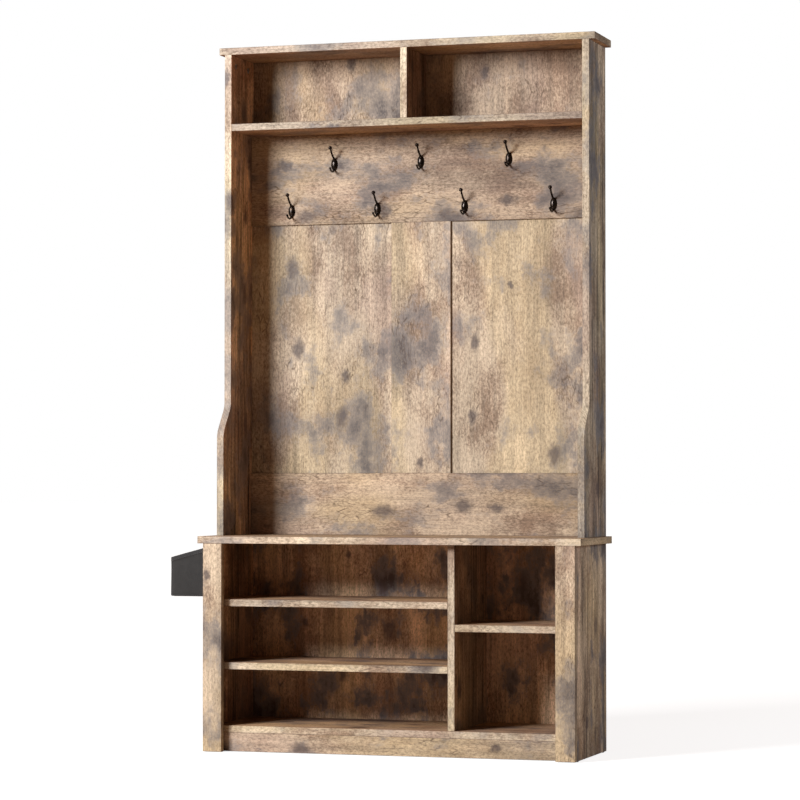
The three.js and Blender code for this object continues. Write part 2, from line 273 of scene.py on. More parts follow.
def finished_mesh(piece: Object) -> None:
    """Works a mesh piece's modifiers into its own mesh.

    Args:
        piece: The piece, left with no modifiers.
    """
    solid = worked_mesh(piece)
    piece.modifiers.clear()
    piece.data = solid


def linked(name: str, data: ID) -> Object:
    """Puts a mesh, a curve, a lamp or a camera into the scene as an object at the origin.

    Args:
        name: The object's name.
        data: What it holds.

    Returns:
        The object.
    """
    piece = bpy.data.objects.new(name, data)
    bpy.context.scene.collection.objects.link(piece)
    return piece


def from_builder(builder: bmesh.types.BMesh, name: str, sharp: float = 38.0) -> Object:
    """Turns a bmesh into a smooth-shaded object with its sharp edges kept.

    Args:
        builder: The bmesh, freed here.
        name: The object's name.
        sharp: Edges that turn more than this many degrees stay sharp.

    Returns:
        The object.
    """
    mesh = bpy.data.meshes.new(name)
    builder.to_mesh(mesh)
    builder.free()
    mesh.shade_smooth()
    mesh.set_sharp_from_angle(angle=math.radians(sharp))
    return linked(name, mesh)


def add_turned(builder: bmesh.types.BMesh, profile: Sequence[Pair], steps: int,
               place: Matrix) -> None:
    """Spins a profile about its own Z axis into a closed solid and adds it.

    Args:
        builder: The bmesh that takes it.
        profile: Points as (radius, height) in millimetres, from the axis round to the axis.
        steps: Sides of the round.
        place: Where the solid goes, in metres.
    """
    rim = [builder.verts.new((radius * MM, 0.0, height * MM)) for radius, height in profile]
    lines = [builder.edges.new(pair) for pair in zip(rim, rim[1:])]
    before = set(builder.verts) - set(rim)
    bmesh.ops.spin(builder, geom=[*rim, *lines], axis=(0.0, 0.0, 1.0), cent=(0.0, 0.0, 0.0),
                   angle=math.tau, steps=steps, use_merge=True)
    made = [vert for vert in builder.verts if vert not in before]
    bmesh.ops.remove_doubles(builder, verts=made, dist=1e-6)
    made = [vert for vert in builder.verts if vert not in before]
    faces = {face for vert in made for face in vert.link_faces}
    bmesh.ops.recalc_face_normals(builder, faces=list(faces))
    bmesh.ops.transform(builder, matrix=place, verts=made)


def round_curve(name: str, points: Sequence[Vector], radius: float,
                thickness: Sequence[float] | None = None, closed: bool = False) -> Curve:
    """A smooth curve with a round section and closed ends.

    Args:
        name: The curve's name.
        points: The points that it passes, in metres.
        radius: The section's radius, in metres.
        thickness: A factor on the radius at each point.
        closed: Whether the curve joins up with itself.

    Returns:
        The curve's data.
    """
    curve = bpy.data.curves.new(name, "CURVE")
    curve.dimensions = "3D"
    curve.resolution_u = 8
    curve.bevel_depth = radius
    curve.bevel_resolution = 3
    curve.use_fill_caps = not closed
    spline = curve.splines.new("BEZIER")
    spline.bezier_points.add(len(points) - 1)
    spline.use_cyclic_u = closed
    for index, (knot, point) in enumerate(zip(spline.bezier_points, points)):
        knot.co = point
        knot.handle_left_type = "AUTO"
        knot.handle_right_type = "AUTO"
        knot.radius = thickness[index] if thickness else 1.0
    return curve


def hand_in(piece: Object, material: Material, slot: str, *stands_for: str) -> None:
    """Dresses a new piece, makes it ride with the frame and hides the CAD nodes it stands for.

    Args:
        piece: The piece.
        material: Its material.
        slot: The record's material slot; not used.
        *stands_for: The CAD nodes that it replaces.
    """
    dress(piece, material)
    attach(piece, "root")
    if stands_for:
        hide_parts(*stands_for)
    log.info("%s: %d faces", piece.name, len(piece.data.polygons))


# ------------------------------------------------------------------ finishes


class Run(Enum):
    """Which way a board's printed grain runs, and which way its broad face lies across it.

    Each value turns the object's axes into (across, thickness, along).
    """

    UPRIGHT_FACING_FRONT = ("x", "y", "z")
    UPRIGHT_FACING_SIDE = ("y", "x", "z")
    LEVEL_FACING_UP = ("y", "z", "x")
    LEVEL_FACING_FRONT = ("z", "y", "x")


@dataclass(frozen=True)
class Inks:
    """The colours of the printed paper, of its worn edges and of the raw hardboard."""

    brown: Colour = (0.230, 0.153, 0.096)
    tan: Colour = (0.500, 0.400, 0.278)
    straw: Colour = (0.480, 0.372, 0.210)
    rose: Colour = (0.375, 0.270, 0.205)
    haze: Colour = (0.126, 0.122, 0.126)
    soot: Colour = (0.062, 0.050, 0.047)
    knot: Colour = (0.060, 0.043, 0.040)
    crack: Colour = (0.055, 0.036, 0.027)
    # cool and warm tint the print by each face's warmth: painted light, warm bounce in shaded faces and
    # cooler light on the outer sides.
    cool: Colour = (0.90, 1.01, 1.10)
    warm: Colour = (1.22, 0.87, 0.70)
    worn_edge: Colour = (0.115, 0.075, 0.050)
    dark_fibre: Colour = (0.235, 0.155, 0.092)
    pale_fibre: Colour = (0.430, 0.305, 0.195)


INKS = Inks()


def drawn(graph: Graph, place: Feed, along: float) -> NodeSocket:
    """The place with its length along the grain drawn out."""
    return graph.vector("MULTIPLY", place, (1.0, along, 1.0))


@dataclass(frozen=True)
class Layer:
    """One layer of noise, drawn out along the grain."""

    along: float
    scale: float
    detail: float
    rough: float = 0.5

    def read(self, graph: Graph, place: Feed) -> NodeSocket:
        """The layer's pattern at a place."""
        return graph.noise(drawn(graph, place, self.along), self.scale, self.detail, self.rough)


@dataclass(frozen=True)
class Crackle:
    """One size of crackle: how fine it is, how far drawn out, how wide its lines are and how rare."""

    across: float
    along: float
    width: float
    rare: float


class RusticPrint:
    """The printed paper of the boards, as one node group: worn tan planks with smoke, knots and crackle, and
    a painted light tint between cool and warm.
    """

    speck: Layer = Layer(0.45, 230.0, 3.0, 0.75)
    streak: Layer = Layer(0.035, 80.0, 5.0, 0.65)
    band: Layer = Layer(0.06, 14.0, 3.0, 0.55)
    fine: Layer = Layer(0.05, 330.0, 2.0, 0.6)
    tone: Layer = Layer(0.5, 9.0, 6.0, 0.66)
    hue: Layer = Layer(0.4, 4.5, 2.0)
    cloud: Layer = Layer(0.62, 8.5, 6.0, 0.64)
    lake: Layer = Layer(0.6, 2.6, 1.0)
    cluster: Layer = Layer(0.42, 11.0, 3.0, 0.6)
    gaps: Layer = Layer(0.5, 90.0, 1.0)
    crackles: tuple[Crackle, ...] = (Crackle(85.0, 0.20, 0.09, 0.49), Crackle(180.0, 0.27, 0.19, 0.54))
    bend: Triple = (0.012, 0.05, 0.0)
    fray: Triple = (0.022, 0.03, 0.0)
    grain: Triple = (0.007, 0.010, 0.0)
    plank_length: float = 0.46
    plank_width: float = 0.088
    knots_in_a_metre: float = 8.5
    knot_strength: float = 0.80
    crack_strength: float = 0.60

    def __init__(self) -> None:
        """Builds the group once, for every board's material."""
        self.tree, graph, source, sink = node_group(
            "rustic_print",
            {
                "Place": ("Vector", None),
                "Smoke": ("Float", 1.0),
                "Warmth": ("Float", 0.5),
                "Streak": ("Float", 0.5),
            },
            {"Color": "Color", "Roughness": "Float", "Height": "Float"},
        )
        place = source.outputs["Place"]
        warp = graph.node("ShaderNodeTexNoise", {"Vector": place, "Scale": 6.0, "Detail": 2.0})
        bent = graph.vector("ADD", place, self._centred(graph, warp.outputs["Color"], self.bend))
        frayed = graph.node("ShaderNodeTexNoise", {"Vector": place, "Scale": 60.0, "Detail": 3.0})
        stirred = frayed.outputs["Color"]
        frayed_place = graph.vector("ADD", bent, self._centred(graph, stirred, self.fray))
        grained_place = graph.vector("ADD", bent, self._centred(graph, stirred, self.grain))

        speck = self.speck.read(graph, place)
        streak = self.streak.read(graph, bent)
        color = self._ground(graph, bent, frayed_place, speck)
        band = self.band.read(graph, bent)
        fine = self.fine.read(graph, bent)
        shade = graph.ramp(streak, 0.32, 0.68, -0.38, 0.26)
        shade = graph.plus(shade, graph.ramp(band, 0.36, 0.62, -0.30, 0.14))
        shade = graph.plus(shade, graph.ramp(fine, 0.34, 0.64, -0.16, 0.12))
        shade = graph.plus(graph.times(shade, source.outputs["Streak"]), 1.0)
        shade = graph.times(shade, graph.ramp(speck, 0.36, 0.60, 0.70, 1.10))
        shade = graph.times(shade, self._planks(graph, grained_place))
        color = graph.mix(1.0, color, shade, "MULTIPLY")

        veil, core = self._smoke(graph, frayed_place, speck, streak)
        veil = graph.math("MULTIPLY", veil, source.outputs["Smoke"], True)
        color = graph.mix(veil, color, INKS.haze)
        core = graph.math("MULTIPLY", core, source.outputs["Smoke"], True)
        color = graph.mix(core, color, INKS.soot)
        knots = self._knots(graph, frayed_place)
        color = graph.mix(graph.times(knots, self.knot_strength), color, INKS.knot)
        cracks = self._cracks(graph, grained_place)
        color = graph.mix(graph.times(cracks, self.crack_strength), color, INKS.crack)

        # Painted light: the Warmth input tints the print between cooler light and warm bounce light.
        cool = graph.mix(1.0, color, INKS.cool, "MULTIPLY")
        warm = graph.mix(1.0, color, INKS.warm, "MULTIPLY")
        graph.feed(sink.inputs["Color"], graph.mix(source.outputs["Warmth"], cool, warm))
        rough = graph.ramp(speck, 0.3, 0.7, 0.68, 0.52)
        graph.feed(sink.inputs["Roughness"], graph.plus(rough, graph.times(cracks, 0.2)))
        height = graph.plus(graph.times(speck, 0.4), graph.times(streak, 0.25))
        graph.feed(sink.inputs["Height"], graph.math("SUBTRACT", height, cracks))

    @staticmethod
    def _centred(graph: Graph, color: NodeSocket, reach: Triple) -> NodeSocket:
        """A noise's colour as a push to either side, as far as reach."""
        return graph.vector("MULTIPLY", graph.vector("SUBTRACT", color, (0.5, 0.5, 0.5)), reach)

    def _ground(self, graph: Graph, bent: NodeSocket, frayed: NodeSocket, speck: NodeSocket) -> NodeSocket:
        """The clear wood's colour: tan, with browner, yellower and pinker regions.

        Args:
            graph: The group's graph.
            bent: The stirred place.
            frayed: The finely stirred place.
            speck: The fine speckle.

        Returns:
            The colour.
        """
        tone = self.tone.read(graph, frayed)
        tone = graph.plus(tone, graph.times(graph.math("SUBTRACT", speck, 0.5), 0.25))
        color = graph.mix(graph.ramp(tone, 0.35, 0.62), INKS.brown, INKS.tan)
        hue = self.hue.read(graph, bent)
        yellow = graph.times(graph.ramp(hue, 0.50, 0.62), 0.6)
        color = graph.mix(yellow, color, INKS.straw)
        pink = graph.times(graph.ramp(hue, 0.48, 0.36), 0.5)
        return graph.mix(pink, color, INKS.rose)

    def _smoke(self, graph: Graph, frayed: NodeSocket, speck: NodeSocket,
               streak: NodeSocket) -> tuple[NodeSocket, NodeSocket]:
        """Grey smudges with ragged rims and dark cores, gathered in some parts of a board.

        Args:
            graph: The group's graph.
            frayed: The finely stirred place.
            speck: The fine speckle.
            streak: The streaks along the grain.

        Returns:
            The mask of the grey veil and that of the dark cores.
        """
        cloud = self.cloud.read(graph, frayed)
        for pattern, weight in ((speck, 0.24), (streak, 0.18)):
            pushed = graph.times(graph.math("SUBTRACT", pattern, 0.5), weight)
            cloud = graph.plus(cloud, pushed)
        lake = self.lake.read(graph, frayed)
        cloud = graph.plus(cloud, graph.times(graph.math("SUBTRACT", lake, 0.5), 0.30))
        worn = graph.ramp(speck, 0.34, 0.64, 1.12, 0.72)
        veil = graph.times(graph.ramp(cloud, 0.505, 0.595, 0.0, 0.62), worn)
        core = graph.times(graph.ramp(cloud, 0.575, 0.70, 0.0, 0.80), worn)
        return veil, core

    def _planks(self, graph: Graph, grained: NodeSocket) -> NodeSocket:
        """Slightly different tones of the printed planks, butted end to end.

        Args:
            graph: The group's graph.
            grained: The slightly stirred place.

        Returns:
            A factor near 1.
        """
        axes = graph.parts(grained)
        black = (0.0, 0.0, 0.0)
        bricks = graph.node("ShaderNodeTexBrick", {
            "Vector": graph.flat(axes[1], axes[0]), "Color1": black, "Color2": (1.0, 1.0, 1.0),
            "Mortar": black, "Scale": 1.0, "Mortar Size": 0.0004, "Mortar Smooth": 1.0,
            "Brick Width": self.plank_length, "Row Height": self.plank_width,
        }, offset=0.37)
        return graph.ramp(bricks.outputs["Color"], 0.0, 1.0, 0.88, 1.08)

    def _knots(self, graph: Graph, frayed: NodeSocket) -> NodeSocket:
        """Small dark blots with frayed rims, a few on each board.

        Args:
            graph: The group's graph.
            frayed: The finely stirred place.

        Returns:
            A mask, 1 in a knot's heart.
        """
        cells = graph.node("ShaderNodeTexVoronoi", {
            "Vector": drawn(graph, frayed, 0.6), "Scale": self.knots_in_a_metre,
        }, voronoi_dimensions="2D")
        chosen = graph.node("ShaderNodeSeparateColor", {0: cells.outputs["Color"]})
        rim = graph.plus(graph.times(chosen.outputs[1], 0.12), 0.07)
        heart = graph.math("DIVIDE", cells.outputs["Distance"], rim)
        return graph.times(graph.ramp(heart, 0.35, 1.25, 1.0, 0.0),
                           graph.ramp(chosen.outputs[0], 0.40, 0.75))

    def _cracks(self, graph: Graph, grained: NodeSocket) -> NodeSocket:
        """Thin dark crackle along the grain: long checks, and finer bark-like clusters.

        Args:
            graph: The group's graph.
            grained: The slightly stirred place.

        Returns:
            A mask, 1 in a crack.
        """
        layers = []
        for size in self.crackles:
            cells = graph.node("ShaderNodeTexVoronoi", {
                "Vector": drawn(graph, grained, size.along), "Scale": size.across,
            }, feature="DISTANCE_TO_EDGE", voronoi_dimensions="2D")
            line = graph.ramp(cells.outputs["Distance"], 0.02, size.width, 1.0, 0.0)
            shifted = graph.vector("ADD", grained, (size.across, 0.0, 0.0))
            patch = self.cluster.read(graph, shifted)
            broken = self.gaps.read(graph, shifted)
            some = graph.times(graph.ramp(patch, size.rare, size.rare + 0.16),
                               graph.ramp(broken, 0.40, 0.56))
            layers.append(graph.times(line, some))
        return graph.math("MAXIMUM", *layers)


class EdgeLine:
    """The thin worn line where a board's faces meet, as one node group."""

    def __init__(self) -> None:
        """Builds the group once, for every board's material."""
        self.tree, graph, source, sink = node_group(
            "edge_line",
            {"Place": ("Vector", None), "Middle": ("Vector", None), "Half": ("Vector", None)},
            {"Mask": "Float"},
        )
        place = source.outputs["Place"]
        from_middle = graph.vector("ABSOLUTE", graph.vector("SUBTRACT", place, source.outputs["Middle"]))
        inward = graph.parts(graph.vector("SUBTRACT", source.outputs["Half"], from_middle))
        nearest = graph.math("MINIMUM", inward[0], inward[1])
        farther = graph.math("MAXIMUM", inward[0], inward[1])
        to_edge = graph.math("MAXIMUM", nearest, graph.math("MINIMUM", farther, inward[2]))
        reach = graph.ramp(graph.noise(place, 110.0, 3.0, 0.65), 0.38, 0.66, 0.0007, 0.0021)
        worn = graph.ramp(graph.math("DIVIDE", to_edge, reach), 0.35, 1.0, 1.0, 0.0)
        graph.feed(sink.inputs["Mask"], worn)


class RawBack:
    """The unprinted rear face of a thin back, as one node group: brown hardboard with loose fibres."""

    def __init__(self) -> None:
        """Builds the group once, for the backs."""
        self.tree, graph, source, sink = node_group(
            "raw_back", {"Place": ("Vector", None)}, {"Color": "Color"})
        place = source.outputs["Place"]
        fibre = graph.noise(graph.vector("MULTIPLY", place, (1.0, 1.0, 0.45)), 420.0, 3.0, 0.7)
        cloud = graph.noise(place, 7.0, 4.0, 0.55)
        color = graph.mix(graph.ramp(fibre, 0.36, 0.64), INKS.dark_fibre, INKS.pale_fibre)
        shade = graph.ramp(cloud, 0.3, 0.7, 0.86, 1.1)
        graph.feed(sink.inputs["Color"], graph.mix(1.0, color, shade, "MULTIPLY"))


@dataclass(frozen=True)
class BoardPapers:
    """The node groups that every board shares."""

    print: RusticPrint
    edge: EdgeLine
    back: RawBack


@dataclass(frozen=True)
class PrintAndLightTone:
    """How strongly one kind of surface shows the parts of the print, and how bright and how warm it is; the
    brightness and the warmth are mostly painted light, standing in for shade, warm bounce light and stronger
    light on that surface.
    """

    smoke: float = 1.0
    # The warmth paints warm bounce light as well as the print's own hue.
    warmth: float = 0.28
    streak: float = 0.5
    # This brightness factor is painted light and shade, with some of the print's own tone.
    gain: float = 1.0


PLAIN = PrintAndLightTone()
# Edges get a brighter, cooler copy of the print: painted light for edges that stand forward into the light,
# together with a paler edge print.
EDGE_WITH_PAINTED_LIGHT = PrintAndLightTone(0.7, 0.18, 0.5, 1.20)

# A surface faces an axis when its normal's part along that axis is more than this.
FACING = 0.7


@dataclass(frozen=True)
class BoardFinish:
    """How one board takes the rustic print, with a tone of its own on one or both broad faces: painted
    light, lit and shaded copies of the one print.

    The tone goes on the broad face that looks along its axis (toward 1), against it (-1) or on both (0).
    """

    run: Run
    seed: int
    face: PrintAndLightTone
    toward: int
    edge: PrintAndLightTone
    raw_back: bool
    wear: float = 0.55
    relief: float = 0.0006
    relief_strength: float = 0.35
    specular: float = 0.35

    def material(self, name: str, papers: BoardPapers,
                 box: tuple[Sequence[float], Sequence[float]]) -> Material:
        """Makes the board's own material, with its own stretch of the print.

        Args:
            name: The material's name.
            papers: The shared groups.
            box: The board's lowest and highest corners.

        Returns:
            The material.
        """
        material, graph, shader = new_material(name)
        spot = graph.place()
        axes = graph.parts(spot)
        facing = graph.facing("True Normal")
        order = ["xyz".index(letter) for letter in self.run.value]
        across, thick, along = (axes[i] for i in order)
        side = graph.flat(graph.plus(across, thick), along)
        end = graph.flat(thick, across)
        is_end = graph.math("GREATER_THAN", graph.math("ABSOLUTE", facing[order[2]]), FACING)
        face = graph.node("ShaderNodeMix", {0: is_end, 4: side, 5: end}, data_type="VECTOR")
        shuffle = random.Random(self.seed)
        offset = (shuffle.uniform(-9, 9), shuffle.uniform(-9, 9), 0.0)
        place = graph.vector("ADD", face.outputs[1], offset)
        turned = facing[order[1]]
        broad = chosen = graph.math("GREATER_THAN", graph.math("ABSOLUTE", turned), FACING)
        if self.toward:
            chosen = graph.math("GREATER_THAN", graph.times(turned, self.toward), FACING)

        def toned(part: str) -> NodeSocket:
            """One part of the tone, by which face of the board it is on; its warmth and brightness are
            painted light.
            """
            usual = graph.ramp(broad, 0.0, 1.0, getattr(self.edge, part), getattr(PLAIN, part))
            return graph.ramp(chosen, 0.0, 1.0, usual, getattr(self.face, part))

        pattern = graph.node("ShaderNodeGroup", {"Place": place}, node_tree=papers.print.tree)
        for part in ("smoke", "warmth", "streak"):
            graph.feed(pattern.inputs[part.title()], toned(part))
        # Painted light and shade: the face's brightness factor on the print.
        color = graph.mix(1.0, pattern.outputs["Color"], toned("gain"), "MULTIPLY")
        low, high = Vector(box[0]), Vector(box[1])
        line = graph.node("ShaderNodeGroup", node_tree=papers.edge.tree)
        graph.feed(line.inputs["Place"], spot)
        graph.feed(line.inputs["Middle"], tuple((low + high) / 2))
        graph.feed(line.inputs["Half"], tuple((high - low) / 2))
        color = graph.mix(graph.times(line.outputs["Mask"], self.wear), color, INKS.worn_edge)
        if self.raw_back:
            raw = graph.node("ShaderNodeGroup", {"Place": spot}, node_tree=papers.back.tree)
            rear = graph.math("GREATER_THAN", facing[1], FACING)
            color = graph.mix(rear, color, raw.outputs["Color"])
        graph.feed(shader.inputs["Base Color"], color)
        graph.feed(shader.inputs["Roughness"], pattern.outputs["Roughness"])
        graph.relief(shader, pattern.outputs["Height"], self.relief_strength, self.relief)
        shader.inputs["Specular IOR Level"].default_value = self.specular
        return material


# ------------------------------------------------------------------ boards


BACKS = ("base_back_panel", "cubby_back_panel", "left_back_panel", "right_back_panel")
# Painted warm shade: the up faces of the base's floor and shelves, inside the dark bays, darker and redder.
PAINTED_SHADE_SHELF_TOP = PrintAndLightTone(1.0, 0.80, 0.5, 0.88)
# Painted warm bounce light on the down faces of the hutch top and the cubby floor.
PAINTED_BOUNCE_UNDERSIDE = PrintAndLightTone(warmth=0.75)


@dataclass
class Boards:
    """Every laminated board of the bench and of the hutch, carried over from the CAD."""

    uprights_facing_side: tuple[str, ...] = (
        "base_left_side", "base_right_side", "base_divider", "hutch_left_side", "hutch_right_side",
        "cubby_divider",
    )
    uprights_facing_front: tuple[str, ...] = ("left_face_stile", "right_face_stile", "middle_stile")
    levels_facing_front: tuple[str, ...] = (
        "front_kick_rail", "back_kick_rail", "hook_board", "lower_board",
    )
    levels_facing_up: tuple[str, ...] = (
        "bench_top", "base_floor_panel", "lower_shoe_shelf", "upper_shoe_shelf", "right_shelf",
        "hutch_top", "cubby_floor",
    )
    # Per board, mostly painted light and shade: faces in the bays, cubbies and inner sides made darker or
    # brighter and warmer for shade and warm bounce, the weakly lit outer right sides brighter and cooler,
    # the hook board darker for the shade under the cubby floor. Smoke and streak are print.
    tones_and_painted_light: dict[str, tuple[PrintAndLightTone, int]] = field(default_factory=lambda: {
        "hutch_left_side": (PrintAndLightTone(1.3, 0.70, 1.4, 1.42), 1),
        "hutch_right_side": (PrintAndLightTone(1.5, 0.10, 1.4, 1.42), 1),
        "base_left_side": (PrintAndLightTone(1.0, 0.75, 1.2, 1.0), 1),
        "base_right_side": (PrintAndLightTone(1.5, 0.20, 1.3, 1.22), 1),
        "base_divider": (PrintAndLightTone(1.0, 0.60, 1.2, 0.80), 1),
        "cubby_divider": (PrintAndLightTone(1.0, 0.70, 1.2, 0.82), 1),
        "base_back_panel": (PrintAndLightTone(1.9, 0.62, 0.7, 1.38), 0),
        "cubby_back_panel": (PrintAndLightTone(1.0, 0.46, 0.5, 0.85), 0),
        "left_back_panel": (PrintAndLightTone(gain=0.94), 0),
        "hook_board": (PrintAndLightTone(1.1, 0.44, 0.5, 0.74), 0),
        "lower_board": (PrintAndLightTone(1.0, 0.42, 0.5, 0.92), 0),
        "middle_stile": (PrintAndLightTone(gain=1.06), 0),
        "right_face_stile": (PrintAndLightTone(gain=1.12), 0),
        "hutch_top": (PAINTED_BOUNCE_UNDERSIDE, -1),
        "cubby_floor": (PAINTED_BOUNCE_UNDERSIDE, -1),
        "base_floor_panel": (PAINTED_SHADE_SHELF_TOP, 1),
        "lower_shoe_shelf": (PAINTED_SHADE_SHELF_TOP, 1),
        "upper_shoe_shelf": (PAINTED_SHADE_SHELF_TOP, 1),
        "right_shelf": (PAINTED_SHADE_SHELF_TOP, 1),
        "bench_top": (PrintAndLightTone(1.0, 0.60, 0.5, 0.90), 0),
    })
    # Painted light on the edges: the hutch top's a little brighter, the cubby floor's a little darker.
    edge_painted_light_gains: dict[str, float] = field(default_factory=lambda: {
        "hutch_top": 1.06,
        "cubby_floor": 0.98,
    })

    def build(self, nodes: dict[str, Object], papers: BoardPapers) -> None:
        """Gives each board its own stretch of the print.

        Args:
            nodes: The CAD nodes by name.
            papers: The shared groups.
        """
        runs = (
            (self.uprights_facing_side, Run.UPRIGHT_FACING_SIDE),
            (self.uprights_facing_front, Run.UPRIGHT_FACING_FRONT),
            (BACKS, Run.UPRIGHT_FACING_FRONT),
            (self.levels_facing_front, Run.LEVEL_FACING_FRONT),
            (self.levels_facing_up, Run.LEVEL_FACING_UP),
        )
        seed = 0
        for names, run in runs:
            for name in names:
                seed += 1
                tone, toward = self.tones_and_painted_light.get(name, (PLAIN, 0))
                edge = replace(EDGE_WITH_PAINTED_LIGHT, gain=self.edge_painted_light_gains.get(name, EDGE_WITH_PAINTED_LIGHT.gain))
                finish = BoardFinish(run, seed, tone, toward, edge, name in BACKS)
                dress(nodes[name], finish.material(f"{name}_print", papers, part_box(name)))
                log.info("board %s, grain %s", name, run.name.lower())


# ------------------------------------------------------------------ metal, cloth and plastic


@dataclass(frozen=True)
class Metal:
    """A plated or patinated metal: its colour, where it is rubbed, and how smooth it is."""

    name: str
    colour: Colour
    rubbed: Colour
    roughness: Pair
    metallic: float = 1.0
    grain: float = 900.0
    relief: float = 0.00003

    def material(self) -> Material:
        """Makes the metal's material: cloudy patina, fine pits and uneven gloss.

        Returns:
            The material.
        """
        material, graph, shader = new_material(self.name)
        place = graph.place()
        cloud = graph.noise(place, 140.0, 4.0, 0.6)
        grain = graph.noise(place, self.grain, 2.0, 0.6)
        rubbed = graph.times(graph.ramp(cloud, 0.50, 0.66), graph.ramp(grain, 0.35, 0.65))
        graph.feed(shader.inputs["Base Color"], graph.mix(rubbed, self.colour, self.rubbed))
        smooth, rough = self.roughness
        graph.feed(shader.inputs["Roughness"], graph.ramp(cloud, 0.38, 0.62, smooth, rough))
        shader.inputs["Metallic"].default_value = self.metallic
        graph.relief(shader, grain, 0.5, self.relief)
        return material


BRONZE = Metal("aged_bronze", (0.019, 0.015, 0.013), (0.070, 0.046, 0.030), (0.18, 0.34), 0.9)
ZINC = Metal("zinc_plate", (0.55, 0.56, 0.58), (0.70, 0.70, 0.68), (0.28, 0.44))


class Weave:
    """A plain weave as one node group, read on two coordinates that lie in the cloth."""

    def __init__(self) -> None:
        """Builds the group once, for the pouch and its tapes."""
        self.tree, graph, source, sink = node_group(
            "plain_weave",
            {"Place": ("Vector", None), "Threads": ("Float", 1400.0)},
            {"Height": "Float", "Shade": "Float"},
        )
        place = source.outputs["Place"]
        half_turns = graph.times(source.outputs["Threads"], math.pi)
        turns = [graph.times(part, half_turns) for part in graph.parts(place)[:2]]
        crossing = graph.times(*(graph.math("SINE", turn) for turn in turns))
        ridges = [graph.math("ABSOLUTE", graph.math("SINE", graph.times(turn, 2.0))) for turn in turns]
        height = graph.either(graph.math("GREATER_THAN", crossing, 0.0), *ridges)
        graph.feed(sink.inputs["Height"], height)
        slub = graph.ramp(graph.noise(drawn(graph, place, 0.1), 700.0, 2.0, 0.6), 0.3, 0.7, 0.8, 1.2)
        # Painted shade: the low threads of the weave darker, times the slubs' own tone.
        graph.feed(sink.inputs["Shade"], graph.times(graph.ramp(height, 0.0, 1.0, 0.72, 1.12), slub))


@dataclass(frozen=True)
class Cloth:
    """A dark woven cloth or tape."""

    name: str
    colour: Colour
    threads: float
    relief: float = 0.00022
    rough: float = 0.88
    sheen: float = 0.18

    def material(self, weave: Weave) -> Material:
        """Makes the cloth's material.

        Args:
            weave: The shared weave.

        Returns:
            The material.
        """
        material, graph, shader = new_material(self.name)
        place = graph.place()
        x, y, z = graph.parts(place)
        steep = [graph.math("ABSOLUTE", part) for part in graph.facing("Normal")]
        to_side = graph.math("GREATER_THAN", steep[0], graph.math("MAXIMUM", steep[1], steep[2]))
        to_sky = graph.math("GREATER_THAN", steep[2], graph.math("MAXIMUM", steep[0], steep[1]))
        woven = graph.node("ShaderNodeGroup", node_tree=weave.tree)
        across = graph.either(to_side, x, y)
        graph.feed(woven.inputs["Place"], graph.flat(across, graph.either(to_sky, z, y)))
        graph.feed(woven.inputs["Threads"], self.threads)
        dust = graph.ramp(graph.noise(place, 26.0, 4.0, 0.6), 0.42, 0.68, 0.92, 1.22)
        # The weave's painted shade in its low threads, times the dust patches.
        shade = graph.times(woven.outputs["Shade"], dust)
        graph.feed(shader.inputs["Base Color"], graph.mix(1.0, self.colour, shade, "MULTIPLY"))
        shader.inputs["Roughness"].default_value = self.rough
        shader.inputs["Sheen Weight"].default_value = self.sheen
        shader.inputs["Sheen Roughness"].default_value = 0.5
        graph.relief(shader, woven.outputs["Height"], 0.8, self.relief)
        return material


CANVAS = Cloth("charcoal_canvas", (0.0135, 0.0133, 0.0135), 620.0)
TAPE = Cloth("black_tape", (0.015, 0.015, 0.016), 900.0)
THREAD = Cloth("grey_thread", (0.060, 0.060, 0.062), 2400.0, 0.00008)


@dataclass(frozen=True)
class Nylon:
    """Moulded nylon, scuffed where it slides."""

    name: str
    colour: Colour
    paler: float = 1.6
    relief: float = 0.00005

    def material(self) -> Material:
        """Makes the nylon's material.

        Returns:
            The material.
        """
        material, graph, shader = new_material(self.name)
        scuff = graph.noise(drawn(graph, graph.place(), 0.15), 900.0, 3.0, 0.6)
        paler = tuple(part * self.paler for part in self.colour)
        graph.feed(shader.inputs["Base Color"], graph.mix(graph.ramp(scuff, 0.5, 0.7), self.colour, paler))
        graph.feed(shader.inputs["Roughness"], graph.ramp(scuff, 0.35, 0.65, 0.38, 0.6))
        graph.relief(shader, scuff, 0.3, self.relief)
        return material


NYLON = Nylon("glide_nylon", (0.05, 0.045, 0.04))


# ------------------------------------------------------------------ fasteners


